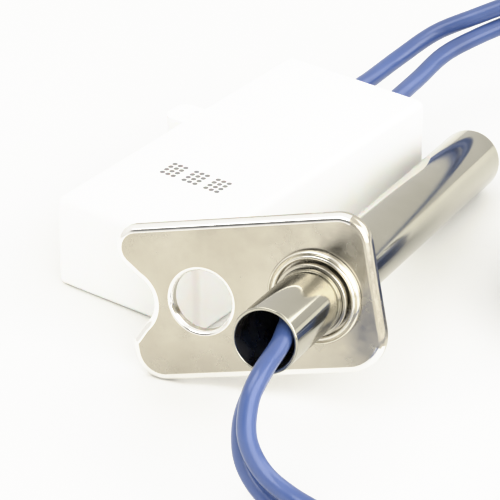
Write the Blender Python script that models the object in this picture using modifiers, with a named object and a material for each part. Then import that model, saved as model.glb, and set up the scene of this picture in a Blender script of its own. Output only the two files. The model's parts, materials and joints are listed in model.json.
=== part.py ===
"""Flanged flame-sensor probe with two leads and a two-pole plug.

The probe lies on a surface as a loose part does: its flange stands on one rounded corner and its
tube rests on its far end. All sizes are metres, +Z is up, and the tube points along +Y.
"""

from math import cos, hypot, pi, radians, sin

import bmesh
import bpy
from mathutils import Euler, Matrix, Vector

MM = 0.001
GAP = 0.1 * MM  # between pieces that touch on the real probe

# Sheath tube. Its stations along the axis count from the front face of the flange.
TUBE_R = 3.25 * MM
TUBE_WALL = 0.35 * MM
MOUTH_AT = -13.2 * MM
TIP_AT = 47.5 * MM
TIP_ROUND = 1.2 * MM
WINDOW_R = 2.15 * MM
BORE_R = TUBE_R - TUBE_WALL

# Flange: a stamped plate with one die-rolled side.
PLATE_T = 1.1 * MM
PLATE_ROLL = 0.7 * MM
HOLE_ROLL = 0.4 * MM
PLATE_LEFT = -19.85 * MM
PLATE_RIGHT = 6.3 * MM
PLATE_HALF = 7.85 * MM
CORNER_TOP_LEFT = 2.3 * MM
CORNER_TOP_RIGHT = 3.0 * MM
CORNER_LOW_RIGHT = 4.0 * MM
CORNER_LOW_LEFT = 3.1 * MM
NOTCH_R = 2.9 * MM
NOTCH_UP = 0.35 * MM
NOTCH_LIP = 0.85 * MM
SCREW_X = -11.8 * MM
SCREW_R = 3.05 * MM
TUBE_HOLE_R = TUBE_R + 0.2 * MM

# How the probe lies.
PITCH = radians(10.36)
ROLL = radians(14.17)
PROBE_X = 6.75 * MM
PROBE_Y = -16.78 * MM

# Leads and coil.
LEAD_R = 0.925 * MM
LEAD_SPACING = 1.3 * MM
COIL_X, COIL_Y = 24.0 * MM, 30.0 * MM
COIL_INNER, COIL_OUTER = 9.5 * MM, 11.5 * MM
COIL_REST = 0.5 * MM
COIL_TALL = 8.25 * MM
COIL_SKIN = LEAD_R + 0.12 * MM

# Plug, with a frame of its own: X across, Y along, Z up from its near left corner.
PLUG_AT = (-32.15 * MM, 11.32 * MM)
PLUG_TURN = radians(-15.05)
PLUG_W, PLUG_L, PLUG_H = 17.84 * MM, 39.4 * MM, 10.1 * MM
PLUG_EDGE = 0.8 * MM
POLE_PITCH = 5.0 * MM
POLE_UP = 6.6 * MM
CAVITY = 3.6 * MM
CAVITY_FROM = 8.0 * MM
RIB_AT, RIB_HALF, RIB_OUT = 22.0 * MM, 1.8 * MM, 2.2 * MM

# Lead routes, counted in millimetres from the floor point below the tube's axis at the flange.
LEAD_1_OUT = [
    (-1.26, -2.3, 11.9), (-1.0, -4.2, 12.1), (0.0, -6.8, 12.2), (0.7, -10.0, 12.7),
    (0.7, -13.5, 12.5), (0.1, -16.1, 10.6), (-0.3, -17.7, 8.0), (0.3, -18.8, 4.9),
    (2.2, -19.4, 2.4), (5.2, -20.1, 1.1), (9.5, -20.5, 1.0), (14.5, -20.5, 1.0),
    (19.5, -19.5, 1.0), (23.2, -17.1, 1.0), (25.5, -12.8, 1.0), (26.5, -7.0, 1.0),
    (27.0, 0.0, 1.0), (27.6, 8.2, 1.1), (29.5, 17.3, 1.4),
]
LEAD_2_OUT = [
    (1.26, -2.2, 12.54), (1.2, -4.3, 13.1), (0.9, -6.8, 14.2), (1.3, -10.2, 14.8),
    (1.7, -13.6, 14.4), (1.2, -16.6, 13.2), (0.8, -18.6, 11.2), (1.2, -20.1, 8.2),
    (2.9, -20.6, 5.4), (5.8, -20.9, 3.6), (9.8, -21.6, 2.7), (14.0, -22.3, 2.2),
    (17.6, -22.7, 1.5), (20.9, -22.0, 1.0), (24.4, -19.8, 1.0), (27.2, -14.6, 1.0),
    (28.6, -7.6, 1.0), (29.1, 0.0, 1.0), (29.9, 8.6, 1.1), (32.1, 18.7, 1.4),
]
LEAD_1_BACK = [
    (31.4, 41.0, 7.4), (30.5, 47.5, 8.8), (28.0, 54.5, 10.8), (24.0, 60.5, 12.6),
    (19.0, 65.5, 13.8), (13.5, 68.0, 14.3), (8.0, 68.0, 13.9), (3.3, 66.3, 13.0),
    (-0.8, 63.6, 11.6), (-4.6, 61.0, 10.0), (-7.4, 58.2, 8.6), (-9.0, 54.0, 7.2),
    (-10.4, 48.2, 6.6), (-12.4, 40.6, 6.6), (-14.5, 32.9, 6.6),
]
LEAD_2_BACK = [
    (33.8, 40.0, 7.1), (32.9, 47.5, 8.7), (30.6, 55.5, 11.0), (26.4, 62.5, 13.3),
    (21.0, 67.6, 14.8), (14.5, 70.3, 15.8), (8.6, 69.6, 15.9), (3.6, 67.2, 15.1),
    (-0.8, 63.9, 13.8), (-5.2, 61.9, 11.9), (-9.2, 60.4, 9.9), (-12.2, 57.2, 7.8),
    (-14.2, 52.6, 6.7), (-15.7, 47.7, 6.6), (-17.3, 41.9, 6.6), (-19.3, 34.2, 6.6),
]
LEAD_POINTS = 64

for old in list(bpy.data.objects):
    bpy.data.objects.remove(old, do_unlink=True)


def collection(name):
    made = bpy.data.collections.new(name)
    bpy.context.scene.collection.children.link(made)
    return made


PARTS = collection("flame_sensor")
CUTTERS = collection("cutters")


def material(name, colour, roughness, metallic=0.0):
    made = bpy.data.materials.new(name)
    made.use_nodes = True
    shader = made.node_tree.nodes["Principled BSDF"]
    shader.inputs["Base Color"].default_value = (*colour, 1.0)
    shader.inputs["Roughness"].default_value = roughness
    shader.inputs["Metallic"].default_value = metallic
    return made


NICKEL = material("nickel_plate", (0.72, 0.69, 0.63), 0.22, 1.0)
TUBE_METAL = material("polished_steel", (0.70, 0.68, 0.65), 0.10, 1.0)
BRASS = material("brass", (0.78, 0.58, 0.28), 0.30, 1.0)
TINNED = material("tinned_copper", (0.66, 0.63, 0.58), 0.35, 1.0)
WHITE = material("white_nylon", (0.90, 0.90, 0.87), 0.42)
BLUE = material("blue_insulation", (0.10, 0.16, 0.48), 0.38)
GLASS = material("window_glass", (0.86, 0.90, 0.90), 0.05)
RUBBER = material("black_rubber", (0.03, 0.03, 0.03), 0.60)
CERAMIC = material("cell_ceramic", (0.84, 0.80, 0.72), 0.50)
HOLDER = material("holder_plastic", (0.24, 0.20, 0.16), 0.55)
LINER = material("liner_film", (0.78, 0.72, 0.58), 0.45)
SHRINK = material("shrink_sleeve", (0.05, 0.05, 0.05), 0.50)
TIE = material("tie_plastic", (0.05, 0.05, 0.05), 0.45)


def empty(name, location, rotation, order="XYZ"):
    made = bpy.data.objects.new(name, None)
    made.location = location
    made.rotation_mode = order
    made.rotation_euler = rotation
    PARTS.objects.link(made)
    return made


def piece(name, data, surface, parent=None, location=(0, 0, 0), rotation=(0, 0, 0)):
    """One sub-part, placed in its parent's frame."""
    made = bpy.data.objects.new(name, data)
    data.materials.clear()
    data.materials.append(surface)
    made.parent = parent
    made.location = location
    made.rotation_euler = rotation
    PARTS.objects.link(made)
    return made


def smooth(mesh, degrees=35):
    mesh.shade_smooth()
    mesh.set_sharp_from_angle(angle=radians(degrees))


def lowest_reach():
    """How far below the axis at the flange the flange's resting corner reaches."""
    across, up = sin(ROLL) * cos(PITCH), cos(ROLL) * cos(PITCH)
    corner_x = PLATE_LEFT + CORNER_LOW_LEFT
    corner_z = -PLATE_HALF + CORNER_LOW_LEFT
    centre = corner_x * across + corner_z * up - PLATE_T * sin(PITCH)
    return -(centre - CORNER_LOW_LEFT * hypot(across, up))


AXIS_UP = lowest_reach()
PROBE = empty("probe_frame", (PROBE_X, PROBE_Y, AXIS_UP), (-PITCH, -ROLL, 0), "YXZ")
PLUG = empty("plug_frame", (PROBE_X + PLUG_AT[0], PROBE_Y + PLUG_AT[1], 0), (0, 0, PLUG_TURN))
COIL = empty("coil_frame", (PROBE_X + COIL_X, PROBE_Y + COIL_Y, COIL_REST), (0, 0, 0))
ALONG = (-pi / 2, 0, 0)  # turns a profile's height onto the frame's +Y


def arc(x, y, radius, start, end, count):
    """Points on an arc, angles in degrees, both ends included."""
    angles = [radians(start + (end - start) * i / count) for i in range(count + 1)]
    return [(x + radius * cos(a), y + radius * sin(a)) for a in angles]


def turned(name, profile, surface, steps=24, parent=PROBE, rotation=ALONG, offset=(0, 0, 0)):
    """A profile of (radius, height) turned about its height axis. It runs down its outer side.

    A profile that starts and ends on the axis makes a solid, and any other is closed into a ring.
    """
    mesh = bpy.data.meshes.new(name)
    shape = bmesh.new()
    corners = [shape.verts.new((r, 0, h)) for r, h in profile]
    ring = profile[0][0] > 0
    for a, b in zip(corners, corners[1:] + corners[:1] * ring):
        shape.edges.new((a, b))
    shape.to_mesh(mesh)
    shape.free()
    made = piece(name, mesh, surface, parent, offset, rotation)
    screw = made.modifiers.new("turn", "SCREW")
    screw.axis = "Z"
    screw.angle = 2 * pi
    screw.steps = steps
    screw.render_steps = steps
    screw.use_merge_vertices = True
    screw.merge_threshold = 0.000001
    screw.use_smooth_shade = True
    return made


def rod(name, radius, start, end, surface, x=0.0, z=0.0, steps=16):
    """A plain round bar along the probe's axis."""
    return turned(name, [(0, end), (radius, end), (radius, start), (0, start)], surface, steps,
                  offset=(x, 0, z))


def ring(name, inner, outer, start, end, surface, x=0.0, steps=24, edge=0.0):
    """A plain tube along the probe's axis, with its outer edges chamfered by edge."""
    profile = [(inner, end), (outer - edge, end), (outer, end - edge), (outer, start + edge),
               (outer - edge, start), (inner, start)]
    if not edge:
        profile = [(inner, end), (outer, end), (outer, start), (inner, start)]
    return turned(name, profile, surface, steps, offset=(x, 0, 0))


def as_mesh(made, name, surface):
    """Turns a curve object into a closed mesh object of the same place and name."""
    seen = made.evaluated_get(bpy.context.evaluated_depsgraph_get())
    mesh = bpy.data.meshes.new_from_object(seen)
    shape = bmesh.new()
    shape.from_mesh(mesh)
    bmesh.ops.remove_doubles(shape, verts=shape.verts, dist=0.000002)
    shape.to_mesh(mesh)
    shape.free()
    parent, location, rotation = made.parent, made.location.copy(), made.rotation_euler.copy()
    bpy.data.objects.remove(made, do_unlink=True)
    return piece(name, mesh, surface, parent, location, rotation)


def flat(name, outlines, thickness, surface, parent, location, rotation):
    """A flat outline, with its holes, given a thickness."""
    curve = bpy.data.curves.new(name, "CURVE")
    curve.dimensions = "2D"
    curve.fill_mode = "BOTH"
    curve.extrude = thickness / 2
    for points in outlines:
        spline = curve.splines.new("POLY")
        spline.points.add(len(points) - 1)
        for point, (x, y) in zip(spline.points, points):
            point.co = (x, y, 0, 1)
        spline.use_cyclic_u = True
    made = piece(name + "_outline", curve, surface, parent, location, rotation)
    bpy.context.view_layer.update()
    return as_mesh(made, name, surface)


def block(name, low, high, parent):
    """A box-shaped cutter between two corners of its parent's frame."""
    bpy.ops.mesh.primitive_cube_add(size=1)
    made = bpy.context.active_object
    made.name = name
    made.scale = [b - a for a, b in zip(low, high)]
    made.location = [(a + b) / 2 for a, b in zip(low, high)]
    made.parent = parent
    for owner in list(made.users_collection):
        owner.objects.unlink(made)
    CUTTERS.objects.link(made)
    made.hide_render = True
    made.display_type = "WIRE"
    return made


def boolean(made, other, operation):
    change = made.modifiers.new(other.name, "BOOLEAN")
    change.operation = operation
    change.object = other
    change.solver = "EXACT"


# ---------------------------------------------------------------- flange


def flange_outline():
    """The flange seen from the front: X to the right and Y up, counterclockwise from the right."""
    left, right, half = PLATE_LEFT, PLATE_RIGHT, PLATE_HALF
    points = arc(right - CORNER_TOP_RIGHT, half - CORNER_TOP_RIGHT, CORNER_TOP_RIGHT, 0, 90, 6)
    points += arc(left + CORNER_TOP_LEFT, half - CORNER_TOP_LEFT, CORNER_TOP_LEFT, 90, 222, 9)
    points += arc(left, NOTCH_UP, NOTCH_R, 52, -58, 12)
    points += arc(left + NOTCH_LIP, -4.0 * MM, NOTCH_LIP, 118, 180, 3)
    points += arc(left + CORNER_LOW_LEFT, -half + CORNER_LOW_LEFT, CORNER_LOW_LEFT, 180, 270, 8)
    points += arc(right - CORNER_LOW_RIGHT, -half + CORNER_LOW_RIGHT, CORNER_LOW_RIGHT, 270, 360, 8)
    return points


def roll_edges(made, width, segments, centre=None, reach=0.0):
    """Rounds the front rim: the outer one, or the one within reach of centre."""
    shape = bmesh.new()
    shape.from_mesh(made.data)
    bmesh.ops.dissolve_limit(shape, angle_limit=radians(1), verts=shape.verts, edges=shape.edges)
    front = max(v.co.z for v in shape.verts)

    def chosen(edge):
        if any(abs(v.co.z - front) > 0.00001 for v in edge.verts):
            return False
        if edge.calc_face_angle(0) < radians(60):
            return False
        near_tube = all(v.co.xy.length < TUBE_HOLE_R * 1.1 for v in edge.verts)
        near_hole = all((v.co.xy - Vector((SCREW_X, 0))).length < SCREW_R * 1.3 for v in edge.verts)
        if centre is None:
            return not near_tube and not near_hole
        return all((v.co.xy - Vector(centre)).length < reach for v in edge.verts)

    rim = [e for e in shape.edges if chosen(e)]
    bmesh.ops.bevel(shape, geom=rim, offset=width, segments=segments, profile=0.5,
                    affect="EDGES", clamp_overlap=False, loop_slide=False)
    bmesh.ops.triangulate(shape, faces=[f for f in shape.faces if len(f.verts) > 4])
    shape.to_mesh(made.data)
    shape.free()


def flange_plate():
    screw_hole = arc(SCREW_X, 0, SCREW_R, 0, 360 - 360 / 32, 31)
    tube_hole = arc(0, 0, TUBE_HOLE_R, 0, 360 - 360 / 32, 31)
    made = flat("flange_plate", [flange_outline(), screw_hole, tube_hole], PLATE_T, NICKEL, PROBE,
                (0, PLATE_T / 2, 0), (pi / 2, 0, 0))
    roll_edges(made, PLATE_ROLL, 4)
    roll_edges(made, HOLE_ROLL, 3, (SCREW_X, 0), SCREW_R * 1.3)
    smooth(made.data, 50)


# ---------------------------------------------------------------- tube and collars


def sheath_tube():
    lip, skin = 0.12 * MM, TIP_ROUND
    outer = [(WINDOW_R, TIP_AT)]
    outer += arc(TUBE_R - skin, TIP_AT - skin, skin, 90, 0, 5)
    outer += arc(TUBE_R - lip, MOUTH_AT + lip, lip, 0, -90, 2)
    inner = arc(BORE_R + lip, MOUTH_AT + lip, lip, 270, 180, 2)
    inner_round = skin - TUBE_WALL
    inner += arc(BORE_R - inner_round, TIP_AT - skin, inner_round, 0, 90, 4)
    inner += [(WINDOW_R, TIP_AT - TUBE_WALL)]
    turned("sheath_tube", outer + inner, TUBE_METAL, 40)


def front_collar():
    """The pressed ring round the tube in front of the flange: two ridges with a fine groove."""
    base, foot, crest = -GAP, 4.65 * MM, 0.42 * MM
    profile = [(3.85 * MM, base), (foot, base)]
    profile += arc(4.33 * MM, base - 0.3 * MM, 0.32 * MM, 0, -75, 3)
    profile += [(4.27 * MM, base - 0.5 * MM)]
    profile += arc(4.02 * MM, base - crest, 0.24 * MM, -50, -180, 4)
    profile += [(3.78 * MM, base - 0.1 * MM)]
    turned("front_collar", profile, NICKEL, 36)


def tube_collars():
    front_collar()
    ring("swage_ring", TUBE_R + GAP, 3.62 * MM, -1.45 * MM, -GAP, NICKEL, steps=36, edge=0.1 * MM)
    ring("rear_collar", TUBE_R + GAP, 4.5 * MM, PLATE_T + GAP, PLATE_T + 1.1 * MM, NICKEL,
         steps=32, edge=0.2 * MM)


# ---------------------------------------------------------------- what the tube holds


def window_parts():
    ring("window_gasket", 2.0 * MM, 2.5 * MM, 46.45 * MM, 46.9 * MM, RUBBER)
    rod("sensor_window", 2.7 * MM, 45.3 * MM, 46.35 * MM, GLASS, steps=28)
    ring("window_retainer", 2.2 * MM, 2.75 * MM, 43.4 * MM, 45.2 * MM, TINNED)


def photocell():
    rod("photocell_body", 2.5 * MM, 41.2 * MM, 43.3 * MM, CERAMIC, steps=28)
    holder = rod("cell_holder", 2.75 * MM, 36.5 * MM, 41.1 * MM, HOLDER, steps=28)
    for side in (1, -1):
        bore = rod(f"leg_bore_{side}", 0.4 * MM, 36.0 * MM, 42.0 * MM, HOLDER, x=side * LEAD_SPACING)
        PARTS.objects.unlink(bore)
        CUTTERS.objects.link(bore)
        bore.hide_render = True
        bore.display_type = "WIRE"
        boolean(holder, bore, "DIFFERENCE")


def lead_joint(number, x):
    """From one leg of the cell through its crimped splice to the insulated lead."""
    rod(f"cell_leg_{number}", 0.25 * MM, 29.0 * MM, 41.1 * MM, TINNED, x=x, steps=10)
    ring(f"splice_ferrule_{number}", 0.35 * MM, 0.55 * MM, 26.0 * MM, 31.5 * MM, BRASS, x=x, steps=12)
    rod(f"lead_core_{number}", 0.25 * MM, 24.7 * MM, 28.8 * MM, TINNED, x=x, steps=10)
    rod(f"inner_lead_{number}", LEAD_R, -2.0 * MM, 24.5 * MM, BLUE, x=x, steps=12)
    sleeve = [(0.65, 33.0), (0.85, 33.0), (0.85, 25.6), (1.22, 24.6), (1.22, 21.5), (1.04, 21.5),
              (1.04, 24.7), (0.65, 25.4)]
    turned(f"splice_sleeve_{number}", [(r * MM, h * MM) for r, h in sleeve], SHRINK, 14,
           offset=(x, 0, 0))


def tube_fillings():
    ring("liner_sleeve", 2.62 * MM, 2.8 * MM, 2.0 * MM, 35.5 * MM, LINER)
    plug = rod("potting_plug", 2.8 * MM, -1.9 * MM, 1.8 * MM, RUBBER, steps=28)
    for side in (1, -1):
        bore = rod(f"lead_bore_{side}", LEAD_R + 0.12 * MM, -2.6 * MM, 2.4 * MM, RUBBER,
                   x=side * LEAD_SPACING)
        PARTS.objects.unlink(bore)
        CUTTERS.objects.link(bore)
        bore.hide_render = True
        bore.display_type = "WIRE"
        boolean(plug, bore, "DIFFERENCE")


# ---------------------------------------------------------------- plug


def pole_x(number):
    return PLUG_W / 2 - (number - 1.5) * POLE_PITCH


def coding_rib():
    """The rounded key on the plug's left side, as tall as the plug above its foot."""
    tip = 1.1 * MM
    outline = [(1.0 * MM, RIB_AT - RIB_HALF)]
    outline += [(1.0 * MM, RIB_AT + RIB_HALF)]
    outline += arc(-RIB_OUT + tip, RIB_AT + RIB_HALF - tip, tip, 90, 180, 4)
    outline += arc(-RIB_OUT + tip, RIB_AT - RIB_HALF + tip, tip, 180, 270, 4)
    tall = PLUG_H - 1.2 * MM
    made = flat("coding_rib", [outline], tall, WHITE, PLUG, (0, 0, PLUG_H - tall / 2 - 0.02 * MM),
                (0, 0, 0))
    PARTS.objects.unlink(made)
    CUTTERS.objects.link(made)
    made.hide_render = True
    made.display_type = "WIRE"
    return made


def plug_housing():
    """The moulded body: two cavities open at the lead end, each with a contact slot below."""
    bpy.ops.mesh.primitive_cube_add(size=1)
    body = bpy.context.active_object
    mesh = body.data
    mesh.transform(Matrix.Translation((PLUG_W / 2, PLUG_L / 2, PLUG_H / 2))
                   @ Matrix.Diagonal((PLUG_W, PLUG_L, PLUG_H, 1)))
    bpy.data.objects.remove(body, do_unlink=True)
    made = piece("plug_housing", mesh, WHITE, PLUG)
    soften = made.modifiers.new("moulded_edges", "BEVEL")
    soften.width = PLUG_EDGE
    soften.segments = 3
    boolean(made, coding_rib(), "UNION")
    for number in (1, 2):
        x, half = pole_x(number), CAVITY / 2
        cavity = block(f"cavity_{number}", (x - half, CAVITY_FROM, POLE_UP - half),
                       (x + half, PLUG_L + 1 * MM, POLE_UP + half), PLUG)
        slot = block(f"slot_{number}", (x - 0.7 * MM, 9.6 * MM, -1 * MM),
                     (x + 0.7 * MM, 13.6 * MM, POLE_UP), PLUG)
        boolean(made, cavity, "DIFFERENCE")
        boolean(made, slot, "DIFFERENCE")


def contact(number):
    """A crimped receptacle: a folded box, a neck and a barrel closed on the lead."""
    x, half, wall = pole_x(number), 1.45 * MM, 0.35 * MM
    bpy.ops.mesh.primitive_cube_add(size=1)
    body = bpy.context.active_object
    mesh = body.data
    start, end = 8.6 * MM, 19.0 * MM
    mesh.transform(Matrix.Translation((x, (start + end) / 2, POLE_UP))
                   @ Matrix.Diagonal((2 * half, end - start, 2 * half, 1)))
    bpy.data.objects.remove(body, do_unlink=True)
    made = piece(f"contact_{number}", mesh, BRASS, PLUG)
    opening = half - wall
    hollow = block(f"contact_opening_{number}", (x - opening, start - 1 * MM, POLE_UP - opening),
                   (x + opening, end + 1 * MM, POLE_UP + opening), PLUG)
    foot = block(f"contact_mouth_{number}", (x - 0.6 * MM, 9.8 * MM, POLE_UP - 2 * MM),
                 (x + 0.6 * MM, 13.4 * MM, POLE_UP), PLUG)
    boolean(made, hollow, "DIFFERENCE")
    boolean(made, foot, "DIFFERENCE")
    neck = block(f"contact_neck_{number}", (x - 0.7 * MM, end - 1 * MM, POLE_UP - half + 0.03 * MM),
                 (x + 0.7 * MM, 25 * MM, POLE_UP - half + 0.33 * MM), PLUG)
    boolean(made, neck, "UNION")
    barrel = turned(f"contact_barrel_{number}", [(1.05 * MM, 29 * MM), (1.4 * MM, 29 * MM),
                    (1.4 * MM, 23 * MM), (1.05 * MM, 23 * MM)], BRASS, 16, PLUG, ALONG,
                    (x, 0, POLE_UP))
    PARTS.objects.unlink(barrel)
    CUTTERS.objects.link(barrel)
    barrel.hide_render = True
    barrel.display_type = "WIRE"
    boolean(made, barrel, "UNION")


# ---------------------------------------------------------------- leads and coil


def catmull(points, count):
    """Evenly numbered points on the smooth curve through a route's own points."""
    known = [Vector(p) for p in points]
    known = [2 * known[0] - known[1]] + known + [2 * known[-1] - known[-2]]
    made = []
    for i in range(count):
        at = (len(points) - 1) * i / (count - 1)
        k = min(int(at), len(points) - 2)
        t = at - k
        a, b, c, d = known[k:k + 4]
        made.append(0.5 * (2 * b + (c - a) * t + (2 * a - 5 * b + 4 * c - d) * t ** 2
                           + (3 * b - a - 3 * c + d) * t ** 3))
    return made


def lead(name, route):
    shift = Vector((PROBE_X, PROBE_Y, 0))
    curve = bpy.data.curves.new(name, "CURVE")
    curve.dimensions = "3D"
    curve.bevel_depth = LEAD_R
    curve.bevel_resolution = 2
    curve.use_fill_caps = True
    spline = curve.splines.new("POLY")
    spline.points.add(LEAD_POINTS - 1)
    for point, place in zip(spline.points, catmull(route, LEAD_POINTS)):
        point.co = (*(place * MM + shift), 1)
    made = piece(name, curve, BLUE)
    bpy.context.view_layer.update()
    as_mesh(made, name, BLUE)


def lead_coil():
    """The closed outer shape of the wound pair of leads."""
    inner, outer, soft = COIL_INNER - COIL_SKIN, COIL_OUTER + COIL_SKIN, 0.8 * MM
    profile = arc(outer - soft, COIL_TALL - soft, soft, 90, 0, 3)
    profile += arc(outer - soft, soft, soft, 0, -90, 3)
    profile += arc(inner + soft, soft, soft, 270, 180, 3)
    profile += arc(inner + soft, COIL_TALL - soft, soft, 180, 90, 3)
    turned("lead_coil", profile, BLUE, 40, COIL, (0, 0, 0))


def coil_tie(number, angle):
    """A flat band round the wound leads, thicker at its locking head on the outside."""
    wide, clear, skin = 2.4 * MM, 0.2 * MM, 0.28 * MM
    inner, outer = COIL_INNER - COIL_SKIN - clear, COIL_OUTER + COIL_SKIN + clear
    low, high = -clear, COIL_TALL + clear

    def loop(grow, head):
        outline = arc(outer - 0.8 * MM, high - 0.8 * MM, 0.8 * MM + grow, 90, 0, 3)
        outline += [(outer + grow + head, 5.2 * MM), (outer + grow + head, 2.8 * MM)]
        outline += arc(outer - 0.8 * MM, low + 0.8 * MM, 0.8 * MM + grow, 0, -90, 3)
        outline += arc(inner + 0.8 * MM, low + 0.8 * MM, 0.8 * MM + grow, 270, 180, 3)
        outline += arc(inner + 0.8 * MM, high - 0.8 * MM, 0.8 * MM + grow, 180, 90, 3)
        return outline

    turn = Euler((pi / 2, 0, angle)).to_matrix()
    made = flat(f"coil_tie_{number}", [loop(skin, 0.9 * MM), loop(0, 0)], wide, TIE, COIL,
                (0, 0, 0), turn.to_euler())
    smooth(made.data)


flange_plate()
sheath_tube()
tube_collars()
window_parts()
photocell()
lead_joint(1, -LEAD_SPACING)
lead_joint(2, LEAD_SPACING)
tube_fillings()
plug_housing()
contact(1)
contact(2)
lead("lead_1_out", LEAD_1_OUT)
lead("lead_2_out", LEAD_2_OUT)
lead("lead_1_back", LEAD_1_BACK)
lead("lead_2_back", LEAD_2_BACK)
lead_coil()
coil_tie(1, radians(120))
coil_tie(2, radians(250))
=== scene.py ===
"""Looks of the flame-sensor probe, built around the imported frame. Lengths are metres, +Z is up."""

import json
from math import cos, pi, radians, sin

import bmesh
import bpy
from mathutils import Euler, Matrix, Vector


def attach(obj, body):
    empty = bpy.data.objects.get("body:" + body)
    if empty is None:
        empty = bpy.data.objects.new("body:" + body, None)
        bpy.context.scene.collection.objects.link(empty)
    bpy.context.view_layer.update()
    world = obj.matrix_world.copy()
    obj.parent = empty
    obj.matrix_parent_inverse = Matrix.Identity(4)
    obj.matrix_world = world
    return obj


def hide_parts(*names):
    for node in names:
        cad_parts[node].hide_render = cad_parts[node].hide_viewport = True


MM = 0.001
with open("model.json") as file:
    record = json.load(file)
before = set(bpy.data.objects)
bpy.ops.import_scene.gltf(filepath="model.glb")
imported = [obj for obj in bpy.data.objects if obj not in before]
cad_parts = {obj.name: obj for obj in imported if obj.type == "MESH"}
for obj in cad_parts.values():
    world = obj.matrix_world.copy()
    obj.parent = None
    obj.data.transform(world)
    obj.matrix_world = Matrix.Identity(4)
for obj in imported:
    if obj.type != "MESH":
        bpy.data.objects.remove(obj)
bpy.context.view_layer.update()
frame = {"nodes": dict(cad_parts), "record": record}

# ---------------------------------------------------------------- sizes, as in the CAD part

# The probe's own frame has +Y along the tube from the flange's front face and +Z up the flange.
TUBE_R = 3.25 * MM
TUBE_WALL = 0.35 * MM
BORE_R = TUBE_R - TUBE_WALL
MOUTH_AT = -13.2 * MM
TIP_AT = 47.5 * MM
TIP_ROUND = 1.2 * MM
WINDOW_R = 2.15 * MM
PLATE_T = 1.1 * MM
PLATE_LEFT, PLATE_RIGHT, PLATE_HALF = -19.85 * MM, 6.3 * MM, 7.85 * MM
PLATE_ROLL, HOLE_ROLL = 0.7 * MM, 0.4 * MM
CORNER_TOP_LEFT, CORNER_TOP_RIGHT = 2.3 * MM, 3.0 * MM
CORNER_LOW_LEFT, CORNER_LOW_RIGHT = 3.1 * MM, 4.0 * MM
NOTCH_R, NOTCH_UP, NOTCH_LIP = 2.9 * MM, 0.35 * MM, 0.85 * MM
SCREW_X, SCREW_R = -11.8 * MM, 3.05 * MM
TUBE_HOLE_R = TUBE_R + 0.2 * MM
PITCH, ROLL = radians(10.36), radians(14.17)
PROBE_X, PROBE_Y, AXIS_UP = 6.75 * MM, -16.78 * MM, 11.81 * MM
LEAD_R = 0.925 * MM
PLUG_AT, PLUG_TURN = (-32.15 * MM, 11.32 * MM), radians(-15.05)
PLUG_W, PLUG_L, PLUG_H = 17.84 * MM, 39.4 * MM, 10.1 * MM
PLUG_EDGE = 0.8 * MM
POLE_PITCH, POLE_UP = 5.0 * MM, 6.6 * MM
CAVITY, CAVITY_FROM = 3.6 * MM, 8.0 * MM
LATCH_HALF, LATCH_FROM, LATCH_TO = 0.7 * MM, 9.6 * MM, 13.6 * MM
RIB_AT, RIB_HALF, RIB_OUT, RIB_ROUND = 22.0 * MM, 1.8 * MM, 2.2 * MM, 1.1 * MM
RIB_SHORTER, RIB_LIFT = 1.2 * MM, 0.58 * MM

PROBE = (Matrix.Translation((PROBE_X, PROBE_Y, AXIS_UP))
         @ Euler((-PITCH, -ROLL, 0), "YXZ").to_matrix().to_4x4())
PLUG = (Matrix.Translation((PROBE_X + PLUG_AT[0], PROBE_Y + PLUG_AT[1], 0))
        @ Matrix.Rotation(PLUG_TURN, 4, "Z"))
ALONG = Matrix.Rotation(-pi / 2, 4, "X")  # turns a profile's height onto the tube's axis

# ---------------------------------------------------------------- camera

LENS, SENSOR = 259.2, 36
CAMERA_AT = Vector((PROBE_X + 103.07 * MM, PROBE_Y - 272.97 * MM, 184.42 * MM))
LOOKS_AT = Vector((PROBE_X - 16.62 * MM, PROBE_Y + 24.9 * MM, 0))

camera_data = bpy.data.cameras.new("view")
camera_data.lens = LENS
camera_data.sensor_width = SENSOR
camera_data.clip_start = 0.01
camera = bpy.data.objects.new("view", camera_data)
camera.location = CAMERA_AT
aim = LOOKS_AT - CAMERA_AT
camera.rotation_euler = aim.to_track_quat("-Z", "Y").to_euler()
bpy.context.scene.collection.objects.link(camera)
bpy.context.scene.camera = camera

# ---------------------------------------------------------------- materials

NOISE_ROUGHNESS = 0.55
NOISE_LOW, NOISE_HIGH = 0.35, 0.65  # the range that most of the noise falls in


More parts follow.
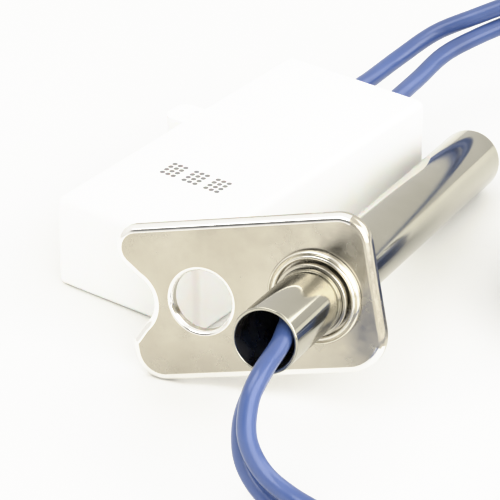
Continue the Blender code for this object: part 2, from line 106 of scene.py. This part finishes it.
class Finish:
    """A Principled material whose colour, roughness and surface vary at real scale."""

    def __init__(self, name, colour, roughness, metallic=0.0, **settings):
        self.made = bpy.data.materials.new(name)
        self.made.use_nodes = True
        self.tree = self.made.node_tree
        self.shader = self.tree.nodes["Principled BSDF"]
        self.shader.inputs["Metallic"].default_value = metallic
        self.shader.inputs["Roughness"].default_value = roughness
        self.shader.inputs["Base Color"].default_value = (*colour, 1)
        for key, value in settings.items():
            self.shader.inputs[key.replace("_", " ")].default_value = value
        self.place = self.tree.nodes.new("ShaderNodeTexCoord").outputs["Object"]
        self.height = None

    def noise(self, size, fineness=(1, 1, 1), detail=4.0):
        """Noise with features about size metres across, divided along each axis by its fineness."""
        mapping = self.tree.nodes.new("ShaderNodeMapping")
        mapping.inputs["Scale"].default_value = fineness
        texture = self.tree.nodes.new("ShaderNodeTexNoise")
        texture.inputs["Scale"].default_value = 0.5 / size
        texture.inputs["Detail"].default_value = detail
        texture.inputs["Roughness"].default_value = NOISE_ROUGHNESS
        self.tree.links.new(self.place, mapping.inputs["Vector"])
        self.tree.links.new(mapping.outputs["Vector"], texture.inputs["Vector"])
        return texture.outputs["Fac"]

    def spread(self, source, low, high):
        """Maps a noise between two values."""
        node = self.tree.nodes.new("ShaderNodeMapRange")
        node.inputs["From Min"].default_value = NOISE_LOW
        node.inputs["From Max"].default_value = NOISE_HIGH
        node.inputs["To Min"].default_value = low
        node.inputs["To Max"].default_value = high
        self.tree.links.new(source, node.inputs["Value"])
        return node.outputs["Result"]

    def tint(self, source, dark, light):
        """Colour between dark and light by a noise."""
        node = self.tree.nodes.new("ShaderNodeMix")
        node.data_type = "RGBA"
        node.inputs["A"].default_value = (*dark, 1)
        node.inputs["B"].default_value = (*light, 1)
        self.tree.links.new(self.spread(source, 0, 1), node.inputs["Factor"])
        self.tree.links.new(node.outputs["Result"], self.shader.inputs["Base Color"])

    def gloss(self, source, low, high):
        """Roughness between low and high by a noise."""
        result = self.spread(source, low, high)
        self.tree.links.new(result, self.shader.inputs["Roughness"])

    def relief(self, source, depth):
        """Adds surface relief of about depth metres."""
        node = self.tree.nodes.new("ShaderNodeBump")
        node.inputs["Strength"].default_value = 1.0
        node.inputs["Distance"].default_value = depth
        self.tree.links.new(source, node.inputs["Height"])
        if self.height:
            self.tree.links.new(self.height, node.inputs["Normal"])
        self.tree.links.new(node.outputs["Normal"], self.shader.inputs["Normal"])
        self.height = node.outputs["Normal"]


MARK_CORNER = (5.1 * MM, 10.1 * MM)
MARK_PERIOD, MARK_COLUMNS, MARK_ROWS, BLOCK_COLUMNS = 0.69 * MM, 11, 4, 3
DOT_REACH, INK_COVER = 0.17, 0.85  # squared radius in periods, and how well the ink covers
TOP_SKIN = 0.3 * MM
INK = (0.07, 0.065, 0.06)


def dot_blocks(made):
    """Prints plain blocks of ink dots on the plug's top, with one empty column between blocks."""
    tree = made.tree

    def maths(operation, first, second=None):
        node = tree.nodes.new("ShaderNodeMath")
        node.operation = operation
        for slot, value in zip(node.inputs, (first, second)):
            if isinstance(value, (int, float)):
                slot.default_value = value
            elif value is not None:
                tree.links.new(value, slot)
        return node.outputs["Value"]

    local = tree.nodes.new("ShaderNodeMapping")
    local.vector_type = "TEXTURE"
    local.inputs["Location"].default_value = PLUG.to_translation()
    local.inputs["Rotation"].default_value = PLUG.to_euler()
    split = tree.nodes.new("ShaderNodeSeparateXYZ")
    tree.links.new(made.place, local.inputs["Vector"])
    tree.links.new(local.outputs["Vector"], split.inputs["Vector"])
    across = maths("DIVIDE", maths("SUBTRACT", split.outputs["X"], MARK_CORNER[0]), MARK_PERIOD)
    along = maths("DIVIDE", maths("SUBTRACT", split.outputs["Y"], MARK_CORNER[1]), MARK_PERIOD)
    side = [maths("SUBTRACT", maths("FRACT", value), 0.5) for value in (across, along)]
    reach = maths("ADD", maths("MULTIPLY", side[0], side[0]), maths("MULTIPLY", side[1], side[1]))
    mask = maths("LESS_THAN", reach, DOT_REACH)
    in_block = maths("MODULO", across, BLOCK_COLUMNS + 1)
    for test in (maths("GREATER_THAN", across, 0), maths("LESS_THAN", across, MARK_COLUMNS),
                 maths("GREATER_THAN", along, 0), maths("LESS_THAN", along, MARK_ROWS),
                 maths("LESS_THAN", in_block, BLOCK_COLUMNS),
                 maths("GREATER_THAN", split.outputs["Z"], PLUG_H - TOP_SKIN)):
        mask = maths("MULTIPLY", mask, test)
    paint = tree.nodes.new("ShaderNodeMix")
    paint.data_type = "RGBA"
    paint.inputs["B"].default_value = (*INK, 1)
    base = made.shader.inputs["Base Color"]
    tree.links.new(base.links[0].from_socket, paint.inputs["A"])
    tree.links.new(maths("MULTIPLY", mask, INK_COVER), paint.inputs["Factor"])
    tree.links.new(paint.outputs["Result"], base)


def nickel():
    """Plated sheet: a cloudy sheen, shallow waves and the fine lines of rolling."""
    made = Finish("nickel_finish", (0.51, 0.475, 0.40), 0.2, 1.0)
    made.tint(made.noise(3.5 * MM), (0.48, 0.445, 0.37), (0.545, 0.51, 0.435))
    made.gloss(made.noise(1.1 * MM, detail=6), 0.14, 0.30)
    made.relief(made.noise(2.2 * MM, detail=3), 0.006 * MM)
    made.relief(made.noise(0.25 * MM, (1, 1, 5), 5), 0.0012 * MM)
    return made.made


def rim():
    """The edges that the die has drawn and burnished, smoother than the face; their much paler
    colour is painted highlight.
    """
    made = Finish("rim_painted_highlight", (0.93, 0.91, 0.87), 0.12, 1.0)
    made.gloss(made.noise(0.8 * MM), 0.08, 0.18)
    made.relief(made.noise(1.4 * MM, detail=3), 0.003 * MM)
    return made.made


def steel():
    """Polished tube, with faint marks of drawing along it."""
    made = Finish("steel_finish", (0.44, 0.42, 0.35), 0.1, 1.0)
    made.tint(made.noise(6 * MM), (0.415, 0.395, 0.325), (0.465, 0.445, 0.375))
    made.gloss(made.noise(2 * MM, (1, 0.2, 1)), 0.06, 0.14)
    made.relief(made.noise(0.6 * MM, (1, 0.12, 1)), 0.0006 * MM)
    return made.made


def nylon():
    """Moulded white plastic that lets a little light in, with its printed mark."""
    made = Finish("nylon_finish", (0.90, 0.90, 0.87), 0.42, Subsurface_Weight=0.25,
                  Subsurface_Scale=0.0015)
    made.tint(made.noise(9 * MM), (0.89, 0.885, 0.85), (0.93, 0.93, 0.905))
    made.gloss(made.noise(1.2 * MM), 0.38, 0.50)
    made.relief(made.noise(0.3 * MM), 0.003 * MM)
    dot_blocks(made)
    return made.made


def insulation():
    """Extruded blue plastic with a soft shine."""
    made = Finish("insulation_finish", (0.045, 0.085, 0.24), 0.34, Coat_Weight=0.5)
    made.tint(made.noise(5 * MM), (0.038, 0.072, 0.21), (0.056, 0.10, 0.265))
    made.gloss(made.noise(0.8 * MM), 0.28, 0.42)
    made.relief(made.noise(0.5 * MM), 0.003 * MM)
    return made.made


def plain(name, colour, roughness, metallic=0.0, grain=0.6, depth=0.002, **settings):
    """A finish with gentle mottling of its own colour; grain and depth are millimetres."""
    made = Finish(name, colour, roughness, metallic, **settings)
    dark = tuple(c * 0.88 for c in colour)
    light = tuple(min(1, c * 1.08) for c in colour)
    made.tint(made.noise(grain * 4 * MM), dark, light)
    made.gloss(made.noise(grain * MM), max(0.02, roughness - 0.08), roughness + 0.08)
    made.relief(made.noise(grain * 0.5 * MM), depth * MM)
    return made.made


# One finish for each material slot of the record.
FINISH = {
    "nickel_plate": nickel(),
    "polished_steel": steel(),
    "white_nylon": nylon(),
    "blue_insulation": insulation(),
    "brass": plain("brass_finish", (0.78, 0.58, 0.28), 0.28, 1.0),
    "tinned_metal": plain("tinned_finish", (0.66, 0.63, 0.58), 0.32, 1.0),
    "window_glass": plain("glass_finish", (0.9, 0.95, 0.94), 0.09, 0.0, 0.6, 0.0002,
                          Transmission_Weight=0.85, IOR=1.47),
    "black_rubber": plain("rubber_finish", (0.022, 0.021, 0.020), 0.55),
    "cell_ceramic": plain("ceramic_finish", (0.84, 0.80, 0.72), 0.5),
    "holder_plastic": plain("holder_finish", (0.24, 0.20, 0.16), 0.5),
    "liner_film": plain("liner_finish", (0.78, 0.72, 0.58), 0.45),
    "shrink_sleeve": plain("sleeve_finish", (0.045, 0.045, 0.045), 0.5),
    "tie_plastic": plain("tie_finish", (0.05, 0.05, 0.05), 0.42),
}

# Finishes for parts of a piece that look different from the rest of its slot.
# The rolled edges' paler metal is painted highlight, much brighter than the flat face's plating.
RIM_HIGHLIGHT = rim()
BORE = plain("bore_finish", (0.42, 0.39, 0.33), 0.30, 1.0, 0.8, 0.004)
COLLAR = plain("collar_finish", (0.72, 0.69, 0.61), 0.16, 1.0, 1.5, 0.006)

for entry in frame["record"]["subparts"]:
    node = frame["nodes"][entry["node"]]
    node.data.materials.clear()
    node.data.materials.append(FINISH[entry["material_slot"]])

# ---------------------------------------------------------------- building tools


def arc(x, y, radius, start, end, count):
    """Points on an arc, angles in degrees, both ends included."""
    angles = [radians(start + (end - start) * i / count) for i in range(count + 1)]
    return [(x + radius * cos(a), y + radius * sin(a)) for a in angles]


def show(name, mesh, slot, replaced, degrees=30):
    """Adds a finished piece to the object; edges sharper than degrees stay sharp."""
    mesh.materials.clear()
    mesh.materials.append(FINISH[slot])
    mesh.shade_smooth()
    mesh.set_sharp_from_angle(angle=radians(degrees))
    made = bpy.data.objects.new(name, mesh)
    bpy.context.scene.collection.objects.link(made)
    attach(made, "root")
    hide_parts(*replaced)
    return made


def lathe(name, profile, place, steps=128):
    """A closed profile of (radius, height) turned about the height axis and put in place."""
    shape = bmesh.new()
    rings = []
    for i in range(steps):
        a = 2 * pi * i / steps
        rings.append([shape.verts.new((r * cos(a), r * sin(a), h)) for r, h in profile])
    count = len(profile)
    for i in range(steps):
        here, after = rings[i], rings[(i + 1) % steps]
        for k in range(count):
            m = (k + 1) % count
            shape.faces.new((here[k], here[m], after[m], after[k]))
    bmesh.ops.recalc_face_normals(shape, faces=shape.faces)
    shape.transform(place)
    mesh = bpy.data.meshes.new(name)
    shape.to_mesh(mesh)
    shape.free()
    return mesh


# ---------------------------------------------------------------- leads

# Millimetres from the floor point below the tube's axis at the flange.
LEAD_1_OUT = [
    (-1.26, -2.3, 11.9), (-1.0, -4.2, 12.1), (0.0, -6.8, 12.2), (0.7, -10.0, 12.7),
    (0.7, -13.5, 12.5), (0.1, -16.1, 10.6), (-0.3, -17.7, 8.0), (0.3, -18.8, 4.9),
    (2.2, -19.4, 2.4), (5.2, -20.1, 1.1), (9.5, -20.5, 1.0), (14.5, -20.5, 1.0),
    (19.5, -19.5, 1.0), (23.2, -17.1, 1.0), (25.5, -12.8, 1.0), (26.5, -7.0, 1.0),
    (27.0, 0.0, 1.0), (27.6, 8.2, 1.1), (29.5, 17.3, 1.4),
]
LEAD_2_OUT = [
    (1.26, -2.2, 12.54), (1.2, -4.3, 13.1), (0.9, -6.8, 14.2), (1.3, -10.2, 14.8),
    (1.7, -13.6, 14.4), (1.2, -16.6, 13.2), (0.8, -18.6, 11.2), (1.2, -20.1, 8.2),
    (2.9, -20.6, 5.4), (5.8, -20.9, 3.6), (9.8, -21.6, 2.7), (14.0, -22.3, 2.2),
    (17.6, -22.7, 1.5), (20.9, -22.0, 1.0), (24.4, -19.8, 1.0), (27.2, -14.6, 1.0),
    (28.6, -7.6, 1.0), (29.1, 0.0, 1.0), (29.9, 8.6, 1.1), (32.1, 18.7, 1.4),
]
LEAD_1_BACK = [
    (31.4, 41.0, 7.4), (30.5, 47.5, 8.8), (28.0, 54.5, 10.8), (24.0, 60.5, 12.6),
    (19.0, 65.5, 13.8), (13.5, 68.0, 14.3), (8.0, 68.0, 13.9), (3.3, 66.3, 13.0),
    (-0.8, 63.6, 11.6), (-4.6, 61.0, 10.0), (-7.4, 58.2, 8.6), (-9.0, 54.0, 7.2),
    (-10.4, 48.2, 6.6), (-12.4, 40.6, 6.6), (-14.5, 32.9, 6.6),
]
LEAD_2_BACK = [
    (33.8, 40.0, 7.1), (32.9, 47.5, 8.7), (30.6, 55.5, 11.0), (26.4, 62.5, 13.3),
    (21.0, 67.6, 14.8), (14.5, 70.3, 15.8), (8.6, 69.6, 15.9), (3.6, 67.2, 15.1),
    (-0.8, 63.9, 13.8), (-5.2, 61.9, 11.9), (-9.2, 60.4, 9.9), (-12.2, 57.2, 7.8),
    (-14.2, 52.6, 6.7), (-15.7, 47.7, 6.6), (-17.3, 41.9, 6.6), (-19.3, 34.2, 6.6),
]

# The coil, in the same millimetres, and its turns in degrees.
COIL_X, COIL_Y = 24.0, 30.0
COIL_INNER, COIL_OUTER = 9.5, 11.5
COIL_LOW, COIL_RISE = 1.55, 6.13
TURNS_FROM, TURNS_TO, TURN_STEPS = -35, 1100, 68


def turns(radius):
    """The wound stretch: three turns and a bit, each just above the last."""
    made = []
    for i in range(TURN_STEPS + 1):
        part = i / TURN_STEPS
        a = radians(TURNS_FROM + (TURNS_TO - TURNS_FROM) * part)
        made.append((COIL_X + radius * cos(a), COIL_Y + radius * sin(a),
                     COIL_LOW + COIL_RISE * part))
    return made


def smooth_route(points, between=6):
    """A Catmull-Rom curve through the points, with a few steps between each two."""
    known = [Vector(p) for p in points]
    known = [2 * known[0] - known[1]] + known + [2 * known[-1] - known[-2]]
    made = []
    for k in range(len(points) - 1):
        a, b, c, d = known[k:k + 4]
        for step in range(between):
            t = step / between
            made.append(0.5 * (2 * b + (c - a) * t + (2 * a - 5 * b + 4 * c - d) * t ** 2
                               + (3 * b - a - 3 * c + d) * t ** 3))
    return made + [known[-2]]


def lead(name, out, radius, back, replaced):
    """One insulated wire from the tube's mouth through the coil to the plug, and its start."""
    curve = bpy.data.curves.new(name, "CURVE")
    curve.dimensions = "3D"
    curve.bevel_depth = LEAD_R
    curve.bevel_resolution = 6
    curve.use_fill_caps = True
    points = smooth_route(out + turns(radius) + back)
    spline = curve.splines.new("POLY")
    spline.points.add(len(points) - 1)
    for point, place in zip(spline.points, points):
        point.co = (place.x * MM + PROBE_X, place.y * MM + PROBE_Y, place.z * MM, 1)
    spline.use_smooth = True
    curve.materials.append(FINISH["blue_insulation"])
    made = bpy.data.objects.new(name, curve)
    bpy.context.scene.collection.objects.link(made)
    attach(made, "root")
    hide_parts(*replaced)
    return made, spline.points[0].co[:3]


cord_1, exit_1 = lead("lead_1", LEAD_1_OUT, COIL_INNER, LEAD_1_BACK,
                      ("lead_1_out", "lead_1_back", "lead_coil"))
cord_2, exit_2 = lead("lead_2", LEAD_2_OUT, COIL_OUTER, LEAD_2_BACK,
                      ("lead_2_out", "lead_2_back"))

# ---------------------------------------------------------------- tube and collars

RING_BASE = -0.1 * MM  # just in front of the flange's face


def tube():
    """The sheath: a softened mouth, a tip rolled in to hold the window, and a duller bore."""
    lip, slack = 0.14 * MM, 0.02 * MM
    inner = TIP_ROUND - TUBE_WALL
    profile = [(WINDOW_R, TIP_AT)]
    profile += arc(TUBE_R - TIP_ROUND, TIP_AT - TIP_ROUND, TIP_ROUND, 90, 0, 12)
    profile += arc(TUBE_R - lip, MOUTH_AT + lip, lip, 0, -90, 6)
    profile += arc(BORE_R + lip, MOUTH_AT + lip, lip, 270, 180, 6)
    profile += arc(BORE_R - inner, TIP_AT - TIP_ROUND, inner, 0, 90, 8)
    profile += [(WINDOW_R, TIP_AT - TUBE_WALL)]
    mesh = lathe("tube", profile, PROBE @ ALONG, 160)
    show("tube", mesh, "polished_steel", ("sheath_tube",))
    mesh.materials.append(BORE)
    to_tube = PROBE.inverted()
    for face in mesh.polygons:
        spot = to_tube @ face.center
        if spot.xz.length < BORE_R + slack and spot.y > MOUTH_AT + 0.2 * MM:
            face.material_index = 1


def pressed_ring():
    """The ring pressed against the flange: an outer bead, a groove and a smaller inner bead."""
    inside, outside = 3.80 * MM, 4.66 * MM
    outer_bead, inner_bead, crest = 0.30 * MM, 0.22 * MM, RING_BASE - 0.46 * MM
    profile = [(inside, RING_BASE), (outside, RING_BASE)]
    profile += arc(outside - outer_bead, RING_BASE - outer_bead, outer_bead, 5, -70, 8)
    profile += [(4.27 * MM, crest)]
    profile += arc(4.03 * MM, crest, inner_bead, -25, -165, 10)
    mesh = lathe("pressed_ring", profile, PROBE @ ALONG)
    show("pressed_ring", mesh, "nickel_plate", ("front_collar",), 40)
    mesh.materials[0] = COLLAR


def inner_ring():
    """The narrow ring swaged on the tube inside the pressed ring."""
    start, soft = -1.45 * MM, 0.12 * MM
    low, high = TUBE_R + 0.05 * MM, 3.62 * MM
    profile = [(low, RING_BASE), (high, RING_BASE)]
    profile += arc(high - soft, start + soft, soft, 0, -90, 5) + [(low, start)]
    show("inner_ring", lathe("inner_ring", profile, PROBE @ ALONG), "nickel_plate", ("swage_ring",))


# ---------------------------------------------------------------- flange

HOLE_POINTS = 96
NOTCH_LIP_UP = -4.0 * MM
CUT_WIDTH, CUT_FROM = 1.6 * MM, -5.4 * MM
MERGE, FLAT = 0.002 * MM, radians(0.3)


def flange_outline():
    """The plate's outline from its right-hand side round by the top, with the notch at the left."""
    left, right, half = PLATE_LEFT, PLATE_RIGHT, PLATE_HALF
    points = arc(right - CORNER_TOP_RIGHT, half - CORNER_TOP_RIGHT, CORNER_TOP_RIGHT, 0, 90, 18)
    points += arc(left + CORNER_TOP_LEFT, half - CORNER_TOP_LEFT, CORNER_TOP_LEFT, 90, 222, 27)
    points += arc(left, NOTCH_UP, NOTCH_R, 52, -58, 30)
    points += arc(left + NOTCH_LIP, NOTCH_LIP_UP, NOTCH_LIP, 118, 180, 8)
    points += arc(left + CORNER_LOW_LEFT, -half + CORNER_LOW_LEFT, CORNER_LOW_LEFT, 180, 270, 20)
    points += arc(right - CORNER_LOW_RIGHT, -half + CORNER_LOW_RIGHT, CORNER_LOW_RIGHT,
                  270, 360, 24)
    return points


def flat_mesh(name, outlines, thickness):
    """A flat plate with the first outline outside and the others as holes."""
    curve = bpy.data.curves.new(name, "CURVE")
    curve.dimensions = "2D"
    curve.fill_mode = "BOTH"
    curve.extrude = thickness / 2
    for points in outlines:
        spline = curve.splines.new("POLY")
        spline.points.add(len(points) - 1)
        for point, (x, y) in zip(spline.points, points):
            point.co = (x, y, 0, 1)
        spline.use_cyclic_u = True
    holder = bpy.data.objects.new(name, curve)
    bpy.context.scene.collection.objects.link(holder)
    bpy.context.view_layer.update()
    mesh = bpy.data.meshes.new_from_object(
        holder.evaluated_get(bpy.context.evaluated_depsgraph_get()))
    bpy.data.objects.remove(holder, do_unlink=True)
    shape = bmesh.new()
    shape.from_mesh(mesh)
    bmesh.ops.remove_doubles(shape, verts=shape.verts, dist=MERGE)
    bmesh.ops.dissolve_limit(shape, angle_limit=FLAT, verts=shape.verts, edges=shape.edges)
    return mesh, shape


def on_cut_side(face):
    """The right-hand side and the corner above it are sheared, not drawn."""
    spot = face.calc_center_median()
    return spot.x > PLATE_RIGHT - CUT_WIDTH and spot.y > CUT_FROM


def flange():
    """The stamped plate: the outer rim and the screw hole are drawn in by the die."""
    holes = [arc(x, 0, radius, 0, 360 - 360 / HOLE_POINTS, HOLE_POINTS - 1)
             for x, radius in ((SCREW_X, SCREW_R), (0, TUBE_HOLE_R))]
    mesh, shape = flat_mesh("flange", [flange_outline()] + holes, PLATE_T)
    front = max(v.co.z for v in shape.verts)
    rims = {PLATE_ROLL: [], HOLE_ROLL: []}
    drawn = set()
    for edge in shape.edges:
        if any(abs(v.co.z - front) > 0.01 * MM for v in edge.verts):
            continue
        if edge.calc_face_angle(0) < radians(60):
            continue
        spot = (edge.verts[0].co + edge.verts[1].co) / 2
        if spot.xy.length < TUBE_HOLE_R * 1.1:
            continue
        at_hole = (spot.xy - Vector((SCREW_X, 0))).length < SCREW_R * 1.2
        rims[HOLE_ROLL if at_hole else PLATE_ROLL].append(edge)
    for width, edges in rims.items():
        rolled = bmesh.ops.bevel(shape, geom=edges, offset=width, segments=8, profile=0.5,
                                 affect="EDGES", clamp_overlap=False, loop_slide=False)
        drawn.update(face for face in rolled["faces"] if not on_cut_side(face))
    shape.faces.index_update()
    rolled_faces = [face.index for face in drawn if face.is_valid]
    upright = Matrix.Translation((0, PLATE_T / 2, 0)) @ Matrix.Rotation(pi / 2, 4, "X")
    shape.transform(PROBE @ upright)
    shape.to_mesh(mesh)
    shape.free()
    show("flange", mesh, "nickel_plate", ("flange_plate",), 40)
    # The rolled faces take the paler metal: painted highlight on the flange's edges.
    mesh.materials.append(RIM_HIGHLIGHT)
    for index in rolled_faces:
        mesh.polygons[index].material_index = 1


# ---------------------------------------------------------------- plug


def boxed(low, high, name="cut"):
    """A box between two corners, as an object of its own."""
    mesh = bpy.data.meshes.new(name)
    shape = bmesh.new()
    bmesh.ops.create_cube(shape, size=1)
    size = Matrix.Diagonal([b - a for a, b in zip(low, high)] + [1])
    middle = Matrix.Translation([(a + b) / 2 for a, b in zip(low, high)])
    shape.transform(middle @ size)
    shape.to_mesh(mesh)
    shape.free()
    made = bpy.data.objects.new(name, mesh)
    bpy.context.scene.collection.objects.link(made)
    return made


def change(made, other, operation):
    """Joins another object to this one, or cuts it out."""
    step = made.modifiers.new(operation.lower(), "BOOLEAN")
    step.operation = operation
    step.object = other
    step.solver = "EXACT"


def settle(made):
    """The object's mesh with its modifiers applied."""
    bpy.context.view_layer.update()
    return bpy.data.meshes.new_from_object(
        made.evaluated_get(bpy.context.evaluated_depsgraph_get()))


def plug():
    """The housing: rounded edges, a rib at one side, and for each pole a cavity and a latch slot."""
    body = boxed((0, 0, 0), (PLUG_W, PLUG_L, PLUG_H), "plug_body")
    soften = body.modifiers.new("edges", "BEVEL")
    soften.width = PLUG_EDGE
    soften.segments = 6
    outline = [(1.0 * MM, RIB_AT - RIB_HALF), (1.0 * MM, RIB_AT + RIB_HALF)]
    outline += arc(RIB_ROUND - RIB_OUT, RIB_AT + RIB_HALF - RIB_ROUND, RIB_ROUND, 90, 180, 8)
    outline += arc(RIB_ROUND - RIB_OUT, RIB_AT - RIB_HALF + RIB_ROUND, RIB_ROUND, 180, 270, 8)
    mesh, shape = flat_mesh("rib", [outline], PLUG_H - RIB_SHORTER)
    shape.transform(Matrix.Translation((0, 0, PLUG_H / 2 + RIB_LIFT)))
    shape.to_mesh(mesh)
    shape.free()
    rib = bpy.data.objects.new("rib", mesh)
    bpy.context.scene.collection.objects.link(rib)
    tools = [rib]
    change(body, rib, "UNION")
    for number in (1, 2):
        x, half = PLUG_W / 2 - (number - 1.5) * POLE_PITCH, CAVITY / 2
        cuts = (boxed((x - half, CAVITY_FROM, POLE_UP - half),
                      (x + half, PLUG_L + 1 * MM, POLE_UP + half)),
                boxed((x - LATCH_HALF, LATCH_FROM, -1 * MM), (x + LATCH_HALF, LATCH_TO, POLE_UP)))
        for cut in cuts:
            tools.append(cut)
            change(body, cut, "DIFFERENCE")
    mesh = settle(body)
    for tool in tools + [body]:
        bpy.data.objects.remove(tool, do_unlink=True)
    mesh.transform(PLUG)
    return show("plug_body", mesh, "white_nylon", ("plug_housing",), 35)


# ---------------------------------------------------------------- everything in place

tube()
pressed_ring()
inner_ring()
flange()
plug_piece = plug()

# ---------------------------------------------------------------- floor and light


def floor():
    """The pale table that the part lies on."""
    bpy.ops.mesh.primitive_plane_add(size=6)
    made = bpy.context.active_object
    made.name = "floor"
    finish = Finish("floor_finish", (0.80, 0.795, 0.765), 0.75)
    finish.tint(finish.noise(20 * MM), (0.79, 0.785, 0.755), (0.815, 0.81, 0.785))
    finish.relief(finish.noise(1.5 * MM), 0.01 * MM)
    made.data.materials.append(finish.made)


def area(name, place, target, size, power):
    """A white panel of light that faces its target; power is watts."""
    data = bpy.data.lights.new(name, "AREA")
    data.shape = "RECTANGLE"
    data.size, data.size_y = size
    data.energy = power
    made = bpy.data.objects.new(name, data)
    made.location = place
    made.rotation_euler = (Vector(target) - Vector(place)).to_track_quat("-Z", "Y").to_euler()
    bpy.context.scene.collection.objects.link(made)


TENT_COLOUR = (1.0, 0.99, 0.965)
HORIZON, OVERHEAD = 0.80, 1.05
DARK_TOWARD = (-0.30, -0.80, 0.53)
DARK_INNER, DARK_OUTER, DARK_LEFT = 12, 26, 0.12  # degrees, degrees, share of the light left


def studio():
    """A tent of light, brighter overhead than at the horizon, dark where its opening is."""
    world = bpy.data.worlds.new("studio")
    world.use_nodes = True
    tree = world.node_tree
    split = tree.nodes.new("ShaderNodeSeparateXYZ")
    level = tree.nodes.new("ShaderNodeMapRange")
    level.inputs["To Min"].default_value = HORIZON
    level.inputs["To Max"].default_value = OVERHEAD
    place = tree.nodes.new("ShaderNodeTexCoord").outputs["Generated"]
    back = tree.nodes["Background"]
    back.inputs["Color"].default_value = (*TENT_COLOUR, 1)
    toward = tree.nodes.new("ShaderNodeVectorMath")
    toward.operation = "DOT_PRODUCT"
    toward.inputs[1].default_value = Vector(DARK_TOWARD).normalized()
    patch = tree.nodes.new("ShaderNodeMapRange")
    patch.interpolation_type = "SMOOTHSTEP"
    patch.inputs["From Min"].default_value = cos(radians(DARK_OUTER))
    patch.inputs["From Max"].default_value = cos(radians(DARK_INNER))
    patch.inputs["To Min"].default_value = 1.0
    patch.inputs["To Max"].default_value = DARK_LEFT
    shaded = tree.nodes.new("ShaderNodeMath")
    shaded.operation = "MULTIPLY"
    tree.links.new(place, toward.inputs[0])
    tree.links.new(toward.outputs["Value"], patch.inputs["Value"])
    tree.links.new(level.outputs["Result"], shaded.inputs[0])
    tree.links.new(patch.outputs["Result"], shaded.inputs[1])
    tree.links.new(place, split.inputs["Vector"])
    tree.links.new(split.outputs["Z"], level.inputs["Value"])
    tree.links.new(shaded.outputs["Value"], back.inputs["Strength"])
    bpy.context.scene.world = world


WHITE_LEVEL, TOP_OF_SCALE = 1.3, 0.985
TONES = ((0.2, 0.3), (0.35, 0.52), (0.48, 0.71), (0.6, 0.86), (0.73, 0.94), (0.87, 0.97))


def soft_highlights():
    """Bends the tone scale near white, so that a pale floor stays just short of it."""
    settings = bpy.context.scene.view_settings
    settings.view_transform = "Standard"
    settings.use_curve_mapping = True
    mapping = settings.curve_mapping
    mapping.white_level = (WHITE_LEVEL,) * 3
    curve = mapping.curves[3]
    curve.points[1].location = (1.0, TOP_OF_SCALE)
    for x, y in TONES:
        curve.points.new(x, y)
    mapping.update()


floor()
studio()
area("key", (0.55, -0.40, 0.36), (0, 0, 0), (0.9, 0.6), 4.6)
area("side", (0.45, 0.35, 0.40), (0, 0.01, 0), (0.7, 0.5), 1.9)
area("top", (-0.22, -0.38, 0.62), (0, 0, 0), (0.5, 0.4), 1.6)
soft_highlights()
